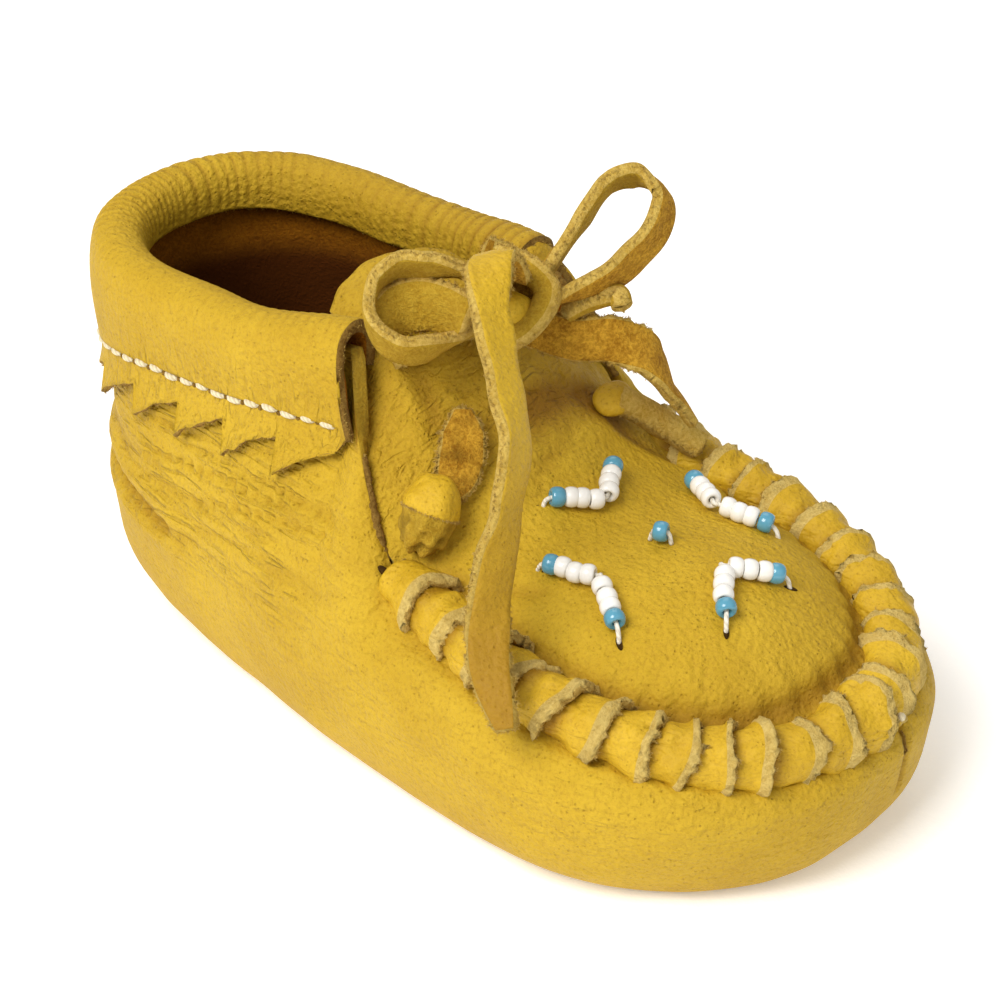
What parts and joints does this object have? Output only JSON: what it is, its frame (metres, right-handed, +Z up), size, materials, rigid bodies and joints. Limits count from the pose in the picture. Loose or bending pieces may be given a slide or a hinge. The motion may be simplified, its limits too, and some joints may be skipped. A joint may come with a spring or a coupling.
{
  "type": "beaded moccasin",
  "caption": "Soft-soled infant moccasin: wrapped hide bottom, domed plug with tongue whipped in by a thong, rolled cuff with pinked edge, thong bow and beaded chevrons.",
  "frame": {"origin": "on the floor, under the middle of the shoe's length and width", "axes": "+X towards the toe, +Y to the shoe's left, +Z up"},
  "size_m": [0.1201, 0.0663, 0.0669],
  "materials": {
    "hide": "golden tan grain hide, soft and slightly waxy, fine pores and wrinkles",
    "cut_edge": "the same hide with raw fuzzy brown cut edges",
    "thong": "narrow strip of the same hide, suede on its flesh side, pale fuzzy edges",
    "bead_white": "opaque glossy glass",
    "bead_blue": "opaque glossy glass",
    "thread": "pale twisted sewing thread",
    "lining": "brown suede flesh side of the hide"
  },
  "bodies": {
    "root": {"bottom_wrap": "hide", "vamp": "hide", "cuff": "hide", "pinked_trim": "cut_edge", "lacing": "thong", "beads_back": "bead_white", "beads_far": "bead_white", "beads_near": "bead_white", "beads_front": "bead_white", "bead_centre": "bead_blue", "tie_bar": "thong", "tie_knot": "thong", "tie_loop_near": "thong", "tie_loop_far": "thong", "tie_end_near": "thong", "tie_end_far": "thong", "lacing_end_near": "thong", "lacing_end_far": "thong"}
  },
  "joints": []
}
